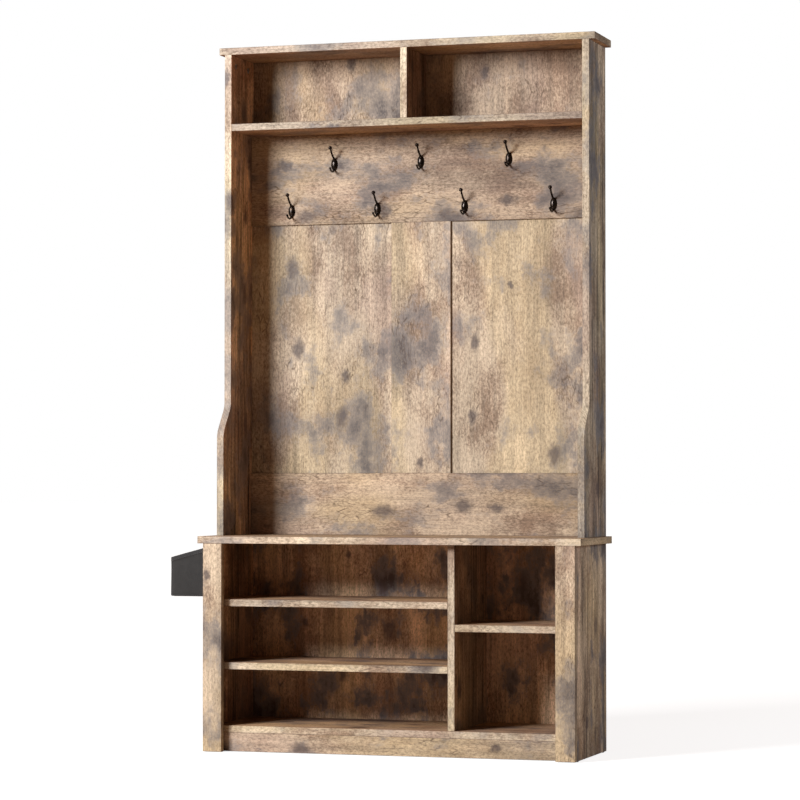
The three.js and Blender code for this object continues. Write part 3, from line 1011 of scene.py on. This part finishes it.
@dataclass(frozen=True)
class Fastener:
    """A screw with a domed head and a cross recess, its head at the top of its own Z axis.

    Lengths are in millimetres.
    """

    head_radius: float
    head_height: float
    shank_radius: float
    length: float
    recess: float

    def profile(self) -> list[Pair]:
        """The half outline, from the head's top down to the tip.

        Returns:
            Points as (radius, height).
        """
        dome = [
            (self.head_radius * math.sin(turn), self.head_height * (0.35 + 0.65 * math.cos(turn)))
            for turn in (math.radians(step) for step in (0, 20, 40, 58, 75, 90))
        ]
        foot = self.head_height - self.length
        return [*dome, (self.head_radius * 0.97, 0.0), (self.shank_radius, 0.0),
                (self.shank_radius, foot * 0.75), (0.0, foot)]

    def build(self, name: str, place: Matrix) -> Object:
        """Makes the screw in its place, with the cross cut into its head.

        Args:
            name: The screw's name.
            place: Carries the underside of the head from the origin, in metres.

        Returns:
            The screw.
        """
        builder = bmesh.new()
        add_turned(builder, self.profile(), 32, Matrix())
        screw = from_builder(builder, name)
        cutter = bmesh.new()
        bar = Matrix.Diagonal((*(self.recess * part * MM for part in (2.2, 0.42, 2.0)), 1.0))
        for quarter in (0.0, 90.0):
            made = bmesh.ops.create_cube(cutter, size=1.0)["verts"]
            turn = Matrix.Rotation(math.radians(quarter), 4, "Z")
            bmesh.ops.transform(cutter, matrix=turn @ bar, verts=made)
            low = [vert for vert in made if vert.co.z < 0.0]
            bmesh.ops.scale(cutter, vec=(0.55, 0.55, 1.0), verts=low)
        bmesh.ops.translate(cutter, vec=(0.0, 0.0, self.head_height * MM), verts=cutter.verts)
        tool = from_builder(cutter, f"{name}_recess")
        cut = screw.modifiers.new("recess", "BOOLEAN")
        cut.operation = "DIFFERENCE"
        cut.solver = "EXACT"
        cut.use_self = True
        cut.object = tool
        finished_mesh(screw)
        bpy.data.objects.remove(tool)
        screw.data.transform(place)
        return screw


HEAD_TO_FRONT = Matrix.Rotation(math.radians(90.0), 4, "X")
HEAD_TO_BACK = Matrix.Rotation(math.radians(-90.0), 4, "X")
HEAD_TO_LEFT = Matrix.Rotation(math.radians(-90.0), 4, "Y")


# ------------------------------------------------------------------ coat hooks


@dataclass
class CoatHooks:
    """Seven cast double hooks, each on an oval plate with two screws.

    Points are (forward, up) in millimetres from the middle of the plate, on the face of the board.
    """

    count: int = 7
    plate: Pair = (19.0, 35.0)
    flange: float = 1.7
    dome: float = 6.5
    dome_inset: Pair = (1.3, 1.6)
    roots: tuple[tuple[Pair, Triple], ...] = (
        ((2.4, 12.6), (3.6, 4.0, 3.4)), ((2.2, -13.0), (3.3, 3.6, 3.2)),
    )
    long_prong: tuple[Pair, ...] = (
        (1.0, 11.5), (8.0, 16.5), (15.0, 20.5), (23.0, 27.5), (34.0, 40.0),
    )
    short_prong: tuple[Pair, ...] = (
        (1.0, -12.0), (6.0, -16.5), (14.0, -20.3), (25.0, -19.5), (32.0, -16.5), (36.0, -13.5),
    )
    long_radius: float = 2.6
    short_radius: float = 2.35
    long_ball: float = 5.1
    short_ball: float = 3.2
    thick_root: float = 1.18
    thinning: float = 0.26
    voxel: float = 0.55
    screw: Fastener = Fastener(2.75, 1.75, 1.6, 18.5, 1.25)
    screw_turn: float = 47.0

    def build(self, material: Material) -> None:
        """Casts one hook, then makes a copy of it and its screws at each place.

        Args:
            material: The aged bronze.
        """
        pattern = self._cast()
        for number in range(1, self.count + 1):
            ends = [f"hook_{number}_top_screw", f"hook_{number}_bottom_screw"]
            boxes = [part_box(end) for end in ends]
            middle = sum((Vector(low) + Vector(high) for low, high in boxes), Vector()) / 4.0
            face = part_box(f"coat_hook_{number}")[1][1]
            mesh = pattern.copy()
            mesh.transform(Matrix.Translation((middle.x, face, middle.z)))
            hand_in(linked(f"cast_hook_{number}", mesh), material, "bronze", f"coat_hook_{number}")
            for end, (low, high) in zip(ends, boxes):
                seat = (Vector(low) + Vector(high)) / 2
                seat.y = low[1] + self.screw.head_height * MM
                turn = Matrix.Rotation(math.radians(number * self.screw_turn), 4, "Z")
                piece = self.screw.build(end.replace("hook", "cast_hook"),
                                         Matrix.Translation(seat) @ HEAD_TO_FRONT @ turn)
                hand_in(piece, material, "bronze", end)

    @staticmethod
    def _at(point: Pair) -> Vector:
        """A (forward, up) point as a place in front of the board, in metres."""
        return Vector((0.0, -point[0] * MM, point[1] * MM))

    def _ball(self, builder: bmesh.types.BMesh, point: Pair, size: Triple) -> None:
        """Adds an ellipsoid round a (forward, up) point, with half axes across, forward and up."""
        place = Matrix.Translation(self._at(point)) @ Matrix.Diagonal((*(part * MM for part in size), 1.0))
        bmesh.ops.create_uvsphere(builder, u_segments=40, v_segments=24, radius=1.0, matrix=place)

    def _cast(self) -> Mesh:
        """Joins plate, prongs and balls into one smooth casting with a flat back.

        Returns:
            The casting's mesh, with its plate's middle at the origin.
        """
        builder = bmesh.new()
        half_wide, half_tall = self.plate[0] / 2, self.plate[1] / 2
        made = bmesh.ops.create_cone(builder, cap_ends=True, segments=64, radius1=1.0, radius2=0.94,
                                     depth=1.0)
        lay = HEAD_TO_FRONT @ Matrix.Diagonal((half_wide * MM, half_tall * MM, 2 * self.flange * MM, 1.0))
        bmesh.ops.transform(builder, matrix=lay, verts=made["verts"])
        less_wide, less_tall = self.dome_inset
        self._ball(builder, (0.0, 0.0), (half_wide - less_wide, self.dome, half_tall - less_tall))
        for point, size in self.roots:
            self._ball(builder, point, size)
        self._ball(builder, self.long_prong[-1], (self.long_ball,) * 3)
        self._ball(builder, self.short_prong[-1], (self.short_ball,) * 3)
        for path, radius in ((self.long_prong, self.long_radius), (self.short_prong, self.short_radius)):
            taper = [self.thick_root - self.thinning * step / (len(path) - 1) for step in range(len(path))]
            rod = linked("rod", round_curve("rod", [self._at(point) for point in path], radius * MM, taper))
            builder.from_mesh(worked_mesh(rod))
            bpy.data.objects.remove(rod)
        bmesh.ops.remove_doubles(builder, verts=builder.verts, dist=1e-6)
        casting = from_builder(builder, "casting", 180.0)
        melt = casting.modifiers.new("melt", "REMESH")
        melt.mode = "VOXEL"
        melt.voxel_size = self.voxel * MM
        soften = casting.modifiers.new("soften", "SMOOTH")
        soften.factor = 0.5
        soften.iterations = 5
        finished_mesh(casting)
        trimmed = bmesh.new()
        trimmed.from_mesh(casting.data)
        bmesh.ops.bisect_plane(trimmed, geom=[*trimmed.verts, *trimmed.edges, *trimmed.faces],
                               plane_co=(0, 0, 0), plane_no=(0, 1, 0), clear_outer=True)
        rim = [edge for edge in trimmed.edges if edge.is_boundary]
        bmesh.ops.holes_fill(trimmed, edges=rim, sides=0)
        bpy.data.objects.remove(casting)
        mesh = bpy.data.meshes.new("casting")
        trimmed.to_mesh(mesh)
        trimmed.free()
        mesh.shade_smooth()
        mesh.set_sharp_from_angle(angle=math.radians(60.0))
        return mesh


# ------------------------------------------------------------------ pouch


@dataclass
class Pouch:
    """The open cloth pouch on the left side of the bench, with bound mouth, piped seams and screws.

    Lengths are in millimetres; the box comes from the CAD solid.
    """

    wall: float = 2.6
    outer_drop: float = 27.0
    corner: float = 9.0
    belly: float = 3.0
    fold: float = 1.1
    crease: float = 0.45
    end_swell: float = 1.5
    floor_sag: float = 2.2
    mouth_sag: float = 2.6
    mesh_steps: Triple = (6.0, 7.0, 6.0)
    tape_height: float = 11.0
    tape_thick: float = 5.0
    tape_fold: float = 1.2
    piping: float = 1.7
    seam_inset: float = 1.2
    seam_rise: float = 2.4
    seam_ends: Pair = (3.0, 4.0)
    stitch: Triple = (3.2, 0.45, 5.6)
    stitch_rise: float = 3.4
    screw: Fastener = Fastener(6.0, 2.5, 2.0, 19.5, 2.3)

    def build(self, canvas: Material, tape: Material, thread: Material, metal: Material) -> None:
        """Makes every piece of the pouch.

        Args:
            canvas: The cloth.
            tape: The binding and the piping.
            thread: The stitches.
            metal: The screws.
        """
        low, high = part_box("storage_bag")
        self.low, self.high = Vector(low), Vector(high)
        shell = self._shell()
        hand_in(shell, canvas, "pouch_fabric", "storage_bag")
        hand_in(self._binding(), tape, "pouch_fabric")
        hand_in(self._piping(), tape, "pouch_fabric")
        hand_in(self._stitches(), thread, "pouch_fabric")
        for name in ("bag_front_screw", "bag_back_screw"):
            near, far = (Vector(corner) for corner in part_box(name))
            seat = (near + far) / 2
            seat.x = near.x + self.screw.head_height * MM
            piece = self.screw.build(f"pouch_{name}", Matrix.Translation(seat) @ HEAD_TO_LEFT)
            hand_in(piece, metal, "zinc_steel", name)

    def _rim_height(self, x: float) -> float:
        """How high the mouth is at x: level with the CAD box at the panel, lower at the outer wall."""
        across = (x - self.low.x) / (self.high.x - self.low.x)
        return self.high.z - self.outer_drop * MM * (1.0 - across)

    def _soften(self, point: Vector) -> Vector:
        """Where a point of the crisp pouch hangs once its walls belly out and its bottom sags.

        Args:
            point: The point on the crisp pouch, in metres.

        Returns:
            The point on the soft pouch.
        """
        size = self.high - self.low
        x, y, z = ((point[i] - self.low[i]) / size[i] for i in range(3))
        free = self._within((1.0 - x) * 3.0)
        swell = math.sin(math.pi * self._within(y)) * math.sin(math.pi * self._within(z * 1.08))
        outer = max(0.0, 1.0 - x * 6.0)
        end = (y - 0.5) * 2.0
        fold = noise.noise(point * 17.0 + Vector((3.1, 0.0, 7.7)))
        crease = noise.noise(Vector((point.x * 55.0, point.y * 40.0, point.z * 14.0)))
        moved = point.copy()
        moved.x -= (self.belly * swell * outer + (self.fold * fold + self.crease * crease) * outer) * MM
        round_end = math.copysign(max(0.0, abs(end) - 0.82) / 0.18, end)
        middle = math.sin(math.pi * self._within(x))
        push = self.end_swell * middle * math.sin(math.pi * min(1.0, z)) + 0.8 * crease
        moved.y += round_end * free * push * MM
        floor = max(0.0, 1.0 - z * 5.0)
        moved.z -= floor * free * (self.floor_sag * math.sin(math.pi * y) * middle + 0.5 * fold) * MM
        dip = self.mouth_sag * math.sin(math.pi * y) ** 2 * outer + 0.7 * fold
        moved.z -= free * max(0.0, z - 0.7) * dip * MM * 3.0
        return moved

    @staticmethod
    def _within(value: float) -> float:
        """The value, kept from 0 to 1."""
        return min(1.0, max(0.0, value))

    def _shell(self) -> Object:
        """The cloth itself: a box without a lid, rounded, slanted, softened and given its thickness.

        Returns:
            The shell.
        """
        builder = bmesh.new()
        bmesh.ops.create_cube(builder, size=1.0)
        size = self.high - self.low
        bmesh.ops.scale(builder, vec=size, verts=builder.verts)
        bmesh.ops.translate(builder, vec=(self.low + self.high) / 2, verts=builder.verts)
        lid = [face for face in builder.faces if face.normal.z > 0.9]
        bmesh.ops.delete(builder, geom=lid, context="FACES_ONLY")
        bent = [edge for edge in builder.edges
                if not edge.is_boundary and min(vert.co.x for vert in edge.verts) < self.high.x - 1e-4]
        bmesh.ops.bevel(builder, geom=bent, offset=self.corner * MM, offset_type="OFFSET", segments=5,
                        profile=0.5, affect="EDGES", material=-1, clamp_overlap=True)
        for axis, step in enumerate(self.mesh_steps):
            lines = int((self.high[axis] - self.low[axis]) / (step * MM))
            normal = Vector((axis == 0, axis == 1, axis == 2))
            for line in range(1, lines):
                at = self.low + normal * (self.high[axis] - self.low[axis]) * line / lines
                everything = [*builder.verts, *builder.edges, *builder.faces]
                bmesh.ops.bisect_plane(builder, geom=everything, plane_co=at, plane_no=normal, dist=1e-5)
        for vert in builder.verts:
            rise = (vert.co.z - self.low.z) / size.z
            vert.co.z = self.low.z + rise * (self._rim_height(vert.co.x) - self.low.z)
        for vert in builder.verts:
            vert.co = self._soften(vert.co)
        bmesh.ops.remove_doubles(builder, verts=builder.verts, dist=2e-5)
        bmesh.ops.recalc_face_normals(builder, faces=builder.faces)
        if sum(face.normal.z * face.calc_area() for face in builder.faces) > 0.0:
            bmesh.ops.reverse_faces(builder, faces=builder.faces)
        shell = from_builder(builder, "pouch_shell", 60.0)
        thick = shell.modifiers.new("cloth", "SOLIDIFY")
        thick.thickness = self.wall * MM
        thick.offset = -1.0
        thick.use_even_offset = True
        finished_mesh(shell)
        shell.data.shade_smooth()
        return shell

    def _loop(self, inset: float, spacing: float, gap: float,
              height: Callable[[float], float]) -> list[Vector]:
        """Points round the pouch, evenly spaced along its rounded outline.

        Args:
            inset: How far inside the box the line runs, in millimetres.
            spacing: The spacing, in millimetres.
            gap: How far the line stays from the side panel, in millimetres.
            height: The line's height in metres at x.

        Returns:
            The softened points, anticlockwise from above; the last joins the first.
        """
        low, high = self.low + Vector((inset, inset, 0)) * MM, self.high - Vector((gap, inset, 0)) * MM
        radius = (self.corner - inset) * MM
        corners = [(low.x + radius, low.y + radius, 180.0), (high.x, low.y, None),
                   (high.x, high.y, None), (low.x + radius, high.y - radius, 90.0)]
        outline: list[Vector] = []
        for x, y, start in corners:
            if start is None:
                outline.append(Vector((x, y, 0.0)))
                continue
            for step in range(7):
                turn = math.radians(start + 15.0 * step)
                outline.append(Vector((x + radius * math.cos(turn), y + radius * math.sin(turn), 0.0)))
        points = []
        for here, there in zip(outline, [*outline[1:], outline[0]]):
            count = max(1, round((there - here).length / (spacing * MM)))
            points += [here.lerp(there, step / count) for step in range(count)]
        return [self._soften(Vector((point.x, point.y, height(point.x)))) for point in points]

    def _binding(self) -> Object:
        """A tape folded over the mouth all the way round.

        Returns:
            The tape.
        """
        wide, tall, fold = self.tape_thick / 2, self.tape_height / 2, self.tape_fold
        path = self._loop(self.wall / 2, 5.0, wide + 0.1, lambda x: self._rim_height(x) - (tall - fold) * MM)
        corners = [(wide, -tall), (wide, tall - fold), (wide - fold, tall), (fold - wide, tall),
                   (-wide, tall - fold), (-wide, -tall)]
        section = self._outline("tape_section", [(x * MM, y * MM, 0.0) for x, y in corners])
        holder = linked("tape_section", section)
        curve = self._outline("pouch_binding", path)
        curve.dimensions = "3D"
        curve.twist_mode = "Z_UP"
        curve.bevel_mode = "OBJECT"
        curve.bevel_object = holder
        binding = linked("pouch_binding", curve)
        solid = worked_mesh(binding)
        for used in (binding, holder):
            bpy.data.objects.remove(used)
        builder = bmesh.new()
        builder.from_mesh(solid)
        bmesh.ops.recalc_face_normals(builder, faces=builder.faces)
        return from_builder(builder, "pouch_binding", 50.0)

    @staticmethod
    def _outline(name: str, points: Sequence[Sequence[float]]) -> Curve:
        """A closed curve with straight sides.

        Args:
            name: The curve's name.
            points: Its corners, in metres.

        Returns:
            The curve's data.
        """
        curve = bpy.data.curves.new(name, "CURVE")
        run = curve.splines.new("POLY")
        run.points.add(len(points) - 1)
        run.use_cyclic_u = True
        for point, place in zip(run.points, points):
            point.co = (*place, 1.0)
        return curve

    def _piping(self) -> Object:
        """Corded seams down the two outer corners and round the bottom.

        Returns:
            The piping.
        """
        radius = self.piping * MM
        bottom = self._loop(self.seam_inset, 9.0, self.piping + 0.1,
                            lambda x: self.low.z + self.seam_rise * MM)
        return self._joined("pouch_piping", [
            round_curve("piping", bottom, radius, None, True),
            *(round_curve("piping", self._upright(y_side), radius) for y_side in (0, 1)),
        ])

    def _upright(self, y_side: int) -> list[Vector]:
        """The line of an outer corner's seam, from the bottom to the mouth.

        Args:
            y_side: 0 for the front corner and 1 for the back one.

        Returns:
            The line's points.
        """
        inset = self.corner * (1.0 - math.sqrt(0.5))
        x = self.low.x + inset * MM
        y = (self.low.y + inset * MM, self.high.y - inset * MM)[y_side]
        foot = self.seam_ends[0] * MM
        top = self._rim_height(x) - self.seam_ends[1] * MM
        rise = top - self.low.z - foot
        return [self._soften(Vector((x, y, self.low.z + foot + rise * step / 9))) for step in range(10)]

    def _joined(self, name: str, curves: Iterable[Curve]) -> Object:
        """Makes several round curves one meshed piece.

        Args:
            name: The piece's name.
            curves: The curves.

        Returns:
            The piece.
        """
        builder = bmesh.new()
        for curve in curves:
            rod = linked("rod", curve)
            builder.from_mesh(worked_mesh(rod))
            bpy.data.objects.remove(rod)
        bmesh.ops.remove_doubles(builder, verts=builder.verts, dist=1e-6)
        return from_builder(builder, name, 60.0)

    def _stitches(self) -> Object:
        """Two rows of stitches, one on each side of the binding, low on the tape.

        Returns:
            The stitches, as one piece.
        """
        length, radius, spacing = self.stitch
        builder = bmesh.new()
        below = self.tape_height - self.stitch_rise
        for inset in (self.wall / 2 - self.tape_thick / 2, self.wall / 2 + self.tape_thick / 2):
            path = self._loop(inset, spacing, 0.0, lambda x: self._rim_height(x) - below * MM)
            for here, there in zip(path, path[1:]):
                if (there - here).length > 2.0 * spacing * MM or here.x > self.high.x - 6.0 * MM:
                    continue
                turn = (there - here).to_track_quat("X", "Z").to_matrix().to_4x4()
                size = Matrix.Diagonal((length / 2 * MM, radius * MM, radius * MM, 1.0))
                place = Matrix.Translation((here + there) / 2) @ turn @ size
                bmesh.ops.create_uvsphere(builder, u_segments=8, v_segments=5, radius=1.0, matrix=place)
        return from_builder(builder, "pouch_stitching", 80.0)


# ------------------------------------------------------------------ small hardware


@dataclass
class SmallHardware:
    """The glides under the sides and the nails that hold the thin backs."""

    glides: tuple[str, ...] = (
        "left_front_glide", "left_back_glide", "right_front_glide", "right_back_glide",
    )
    glide_profile: tuple[Pair, ...] = (
        (0.0, 2.0), (8.0, 2.0), (8.0, 1.1), (7.6, 0.4), (6.8, 0.0), (3.4, 0.0), (2.6, 0.5), (0.0, 0.5),
    )
    nail_profile: tuple[Pair, ...] = (
        (0.0, 0.6), (1.1, 0.5), (1.9, 0.15), (1.9, -0.2), (0.0, -0.2),
    )
    nail_inset: float = 9.0
    nail_spacing: float = 115.0

    def build(self, plastic: Material, metal: Material) -> None:
        """Makes the glides and the nails.

        Args:
            plastic: The glides' nylon.
            metal: The nails' zinc.
        """
        for name in self.glides:
            low, high = (Vector(corner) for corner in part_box(name))
            builder = bmesh.new()
            middle = (low + high) / 2
            add_turned(builder, self.glide_profile, 40, Matrix.Translation((middle.x, middle.y, low.z)))
            hand_in(from_builder(builder, f"{name}_disc", 50.0), plastic, "glide", name)
        builder = bmesh.new()
        for name in BACKS:
            for place in self._rows(name):
                add_turned(builder, self.nail_profile, 10, Matrix.Translation(place) @ HEAD_TO_BACK)
        hand_in(from_builder(builder, "back_nails", 50.0), metal, "zinc_steel")

    def _rows(self, name: str) -> list[Triple]:
        """The nails' places round the edge of one back.

        Args:
            name: The back's node.

        Returns:
            The places, on its rear face.
        """
        low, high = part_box(name)
        inset = self.nail_inset * MM
        x0, x1, z0, z1 = low[0] + inset, high[0] - inset, low[2] + inset, high[2] - inset
        wide = math.ceil((x1 - x0) / (self.nail_spacing * MM))
        tall = math.ceil((z1 - z0) / (self.nail_spacing * MM))
        level = [(x0 + (x1 - x0) * step / wide, high[1], z) for step in range(wide + 1) for z in (z0, z1)]
        upright = [(x, high[1], z0 + (z1 - z0) * step / tall) for step in range(1, tall) for x in (x0, x1)]
        return level + upright


# ------------------------------------------------------------------ studio


@dataclass(frozen=True)
class Lamp:
    """One soft square lamp: where it stands, what it points at, its side, its watts and its colour."""

    name: str
    place: Triple
    aim: Triple
    size: float
    power: float
    colour: Colour

    def build(self) -> None:
        """Hangs the lamp."""
        lamp = bpy.data.lights.new(self.name, "AREA")
        lamp.shape = "SQUARE"
        lamp.size = self.size
        lamp.energy = self.power
        lamp.color = self.colour
        holder = linked(self.name, lamp)
        holder.location = self.place
        direction = Vector(self.aim) - Vector(self.place)
        holder.rotation_euler = direction.to_track_quat("-Z", "Y").to_euler()


@dataclass
class Studio:
    """The pale floor, the soft lights and the camera.

    The lens and the sensor are in millimetres, other lengths in metres and angles in degrees.
    """

    lens: float = 134.6
    sensor: float = 36.0
    azimuth: float = 17.65
    distance: float = 7.7547
    aim: Triple = (-0.0208, 0.160, 0.7001)
    rise: float = 1.436
    lamps: tuple[Lamp, ...] = (
        Lamp("key", (-2.23, -3.56, 2.45), (0.0, 0.0, 1.0), 1.5, 358.0, (0.98, 1.0, 1.02)),
        Lamp("side_fill", (3.2, 1.2, 1.3), (0.5, 0.16, 0.9), 1.2, 34.0, (0.84, 0.92, 1.0)),
    )
    room: Colour = (1.0, 0.60, 0.39)
    room_strength: float = 0.145
    floor_bounce: Colour = (0.50, 0.33, 0.22)
    floor_seen: Colour = (0.5, 0.5, 0.5)
    floor_size: float = 60.0
    glow_reach: Pair = (1.2, 5.0)
    glow: Pair = (0.80, 0.99)

    def build(self) -> None:
        """Sets up everything that isn't the object."""
        self._floor()
        for lamp in self.lamps:
            lamp.build()
        self._world()
        self._camera()

    def _floor(self) -> None:
        """A wide pale floor that the object stands on."""
        builder = bmesh.new()
        bmesh.ops.create_grid(builder, x_segments=1, y_segments=1, size=self.floor_size)
        floor = from_builder(builder, "floor")
        material, graph, shader = new_material("pale_floor")
        shader.inputs["Roughness"].default_value = 0.9
        shader.inputs["Emission Color"].default_value = (1.0, 1.0, 1.0, 1.0)
        seen = graph.node("ShaderNodeLightPath").outputs["Is Camera Ray"]
        graph.feed(shader.inputs["Base Color"], graph.mix(seen, self.floor_bounce, self.floor_seen))
        away = graph.node("ShaderNodeVectorMath", {0: graph.place()}, operation="LENGTH").outputs["Value"]
        glow = graph.ramp(away, *self.glow_reach, *self.glow)
        graph.feed(shader.inputs["Emission Strength"], graph.times(seen, glow))
        dress(floor, material)

    def _world(self) -> None:
        """A dim warm room round the object, white where the camera sees it, and plain colours."""
        world = bpy.data.worlds.new("studio")
        world.use_nodes = True
        graph = Graph(world.node_tree)
        path = graph.node("ShaderNodeLightPath")
        room = graph.node("ShaderNodeBackground", {"Color": self.room, "Strength": self.room_strength})
        wall = graph.node("ShaderNodeBackground", {"Color": (1.0, 1.0, 1.0), "Strength": 1.0})
        both = graph.node("ShaderNodeMixShader", {0: path.outputs["Is Camera Ray"], 1: room.outputs[0],
                                                  2: wall.outputs[0]})
        graph.node("ShaderNodeOutputWorld", {"Surface": both.outputs[0]})
        bpy.context.scene.world = world
        bpy.context.scene.view_settings.view_transform = "Standard"

    def _camera(self) -> None:
        """A long lens a little to the right of the middle, at seat height."""
        data = bpy.data.cameras.new("camera")
        data.lens = self.lens
        data.sensor_width = self.sensor
        camera = linked("camera", data)
        turn = math.radians(self.azimuth)
        back = Vector((math.sin(turn), -math.cos(turn), 0.0))
        camera.location = Vector(self.aim) + back * self.distance
        camera.rotation_euler = Euler((math.radians(90.0 + self.rise), 0.0, turn))
        data.clip_end = 200.0
        bpy.context.scene.camera = camera


def main() -> None:
    """Builds the looks in order."""
    logging.basicConfig(level=logging.INFO, format="%(name)s: %(message)s")
    nodes = frame["nodes"]
    Boards().build(nodes, BoardPapers(RusticPrint(), EdgeLine(), RawBack()))
    bronze, zinc = BRONZE.material(), ZINC.material()
    weave = Weave()
    CoatHooks().build(bronze)
    Pouch().build(CANVAS.material(weave), TAPE.material(weave), THREAD.material(weave), zinc)
    SmallHardware().build(NYLON.material(), zinc)
    for name, node in nodes.items():
        if "_cam_" in name:
            dress(node, zinc)
    Studio().build()


if __name__ == "__main__":
    main()
